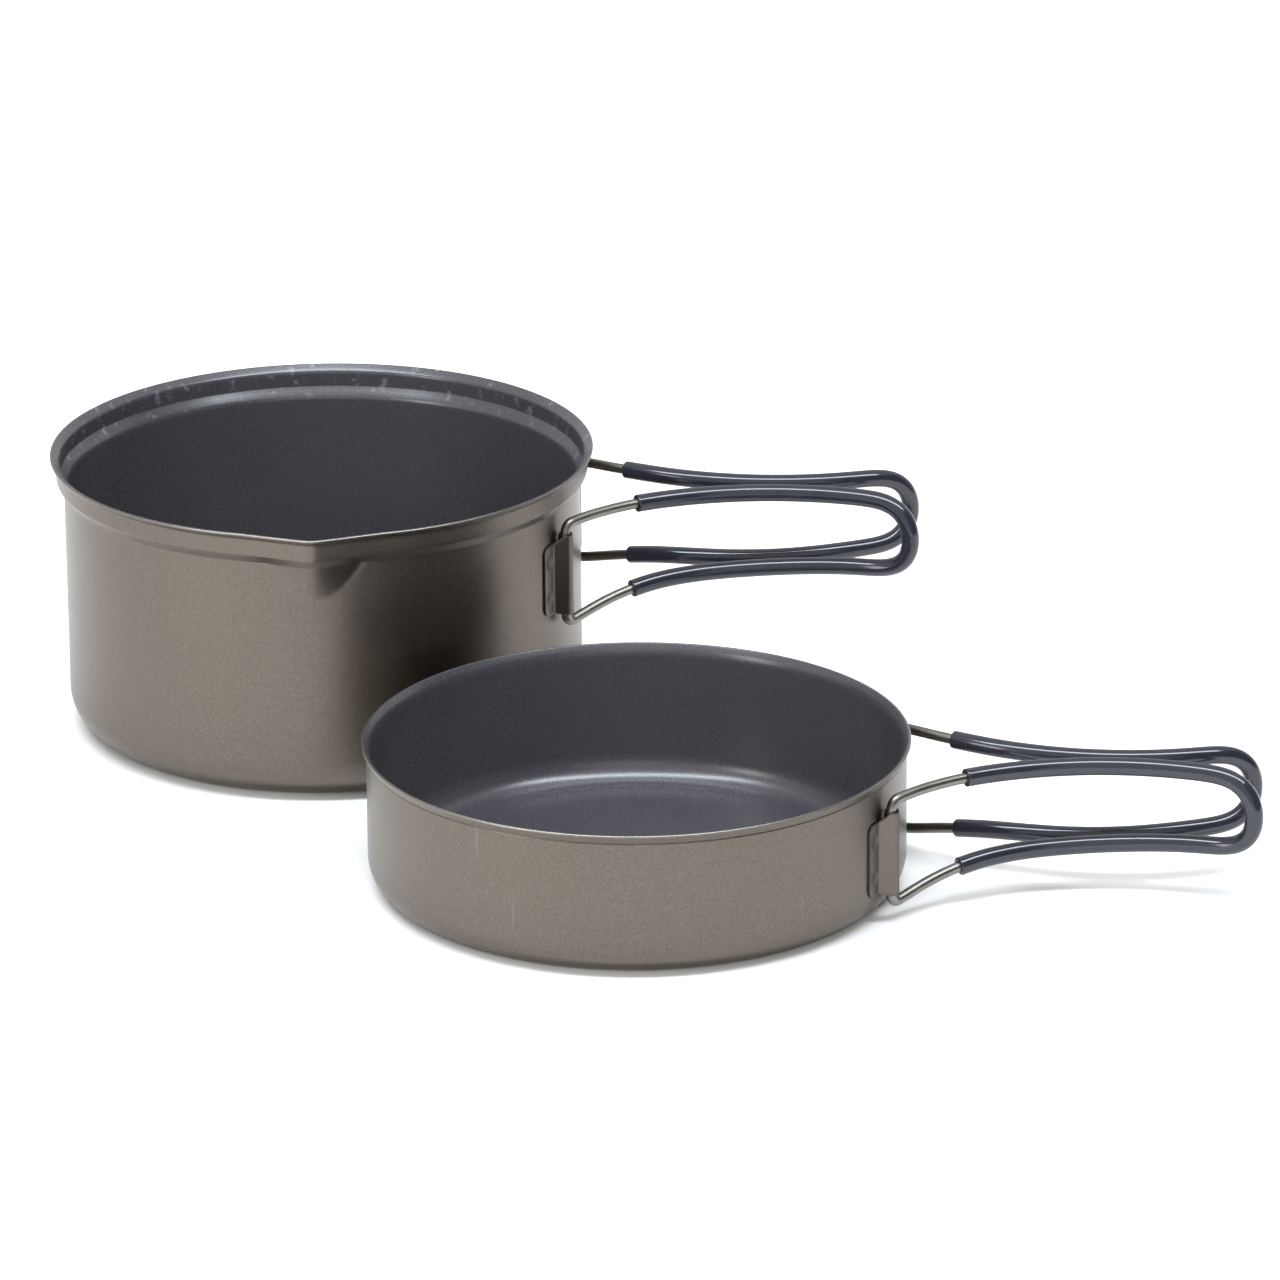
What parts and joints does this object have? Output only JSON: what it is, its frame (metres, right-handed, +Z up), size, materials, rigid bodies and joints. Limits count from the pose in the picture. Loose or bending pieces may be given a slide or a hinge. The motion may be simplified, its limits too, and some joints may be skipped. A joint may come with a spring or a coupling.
{
  "type": "cooking pot set",
  "caption": "Nesting camping cookware: a deep pot with a pouring lip and a shallow pan that doubles as its lid, each with folding wire handles in grip sleeves.",
  "frame": {"origin": "centre of the pot's flat base, on the surface it stands on", "axes": "+Z up; +X along the pot's open handles; the pouring lip points along -Y"},
  "size_m": [0.3542, 0.2892, 0.0836],
  "materials": {
    "anodised_aluminium": "hard-anodised, satin, fine grain",
    "nonstick_lining": "dark blue-grey satin non-stick with fine speckle",
    "bracket_sheet": "satin",
    "handle_wire": "drawn wire, satin",
    "grip_sleeve": "semi-gloss dark slate sleeve"
  },
  "bodies": {
    "pot": {"pot_body": "anodised_aluminium", "pot_nonstick_lining": "nonstick_lining", "pot_front_bracket": "bracket_sheet", "pot_rear_bracket": "bracket_sheet"},
    "pot_front_handle": {"pot_front_handle_wire": "handle_wire", "pot_front_grip_sleeve": "grip_sleeve"},
    "pot_rear_handle": {"pot_rear_handle_wire": "handle_wire", "pot_rear_grip_sleeve": "grip_sleeve"},
    "pan": {"pan_body": "anodised_aluminium", "pan_nonstick_lining": "nonstick_lining", "pan_front_bracket": "bracket_sheet", "pan_rear_bracket": "bracket_sheet"},
    "pan_front_handle": {"pan_front_handle_wire": "handle_wire", "pan_front_grip_sleeve": "grip_sleeve"},
    "pan_rear_handle": {"pan_rear_handle_wire": "handle_wire", "pan_rear_grip_sleeve": "grip_sleeve"}
  },
  "joints": [
    {"name": "pot_front_handle_fold", "type": "hinge", "parent": "pot", "child": "pot_front_handle", "pos_m": [0.07325, -0.02959, 0.0548], "axis": [0, 0, 1], "range_deg": [-155, 0]},
    {"name": "pot_rear_handle_fold", "type": "hinge", "parent": "pot", "child": "pot_rear_handle", "pos_m": [0.07325, 0.02959, 0.0548], "axis": [0, 0, 1], "range_deg": [0, 155]},
    {"name": "pan_lift", "type": "slide", "parent": "pot", "child": "pan", "axis": [0, 0, 1], "range_m": [0, 0.09]},
    {"name": "pan_front_handle_fold", "type": "hinge", "parent": "pan", "child": "pan_front_handle", "pos_m": [0.169, -0.16371, 0.0206], "axis": [0, 0, 1], "range_deg": [-156, 0]},
    {"name": "pan_rear_handle_fold", "type": "hinge", "parent": "pan", "child": "pan_rear_handle", "pos_m": [0.17105, -0.10478, 0.0206], "axis": [0, 0, 1], "range_deg": [0, 156]}
  ]
}
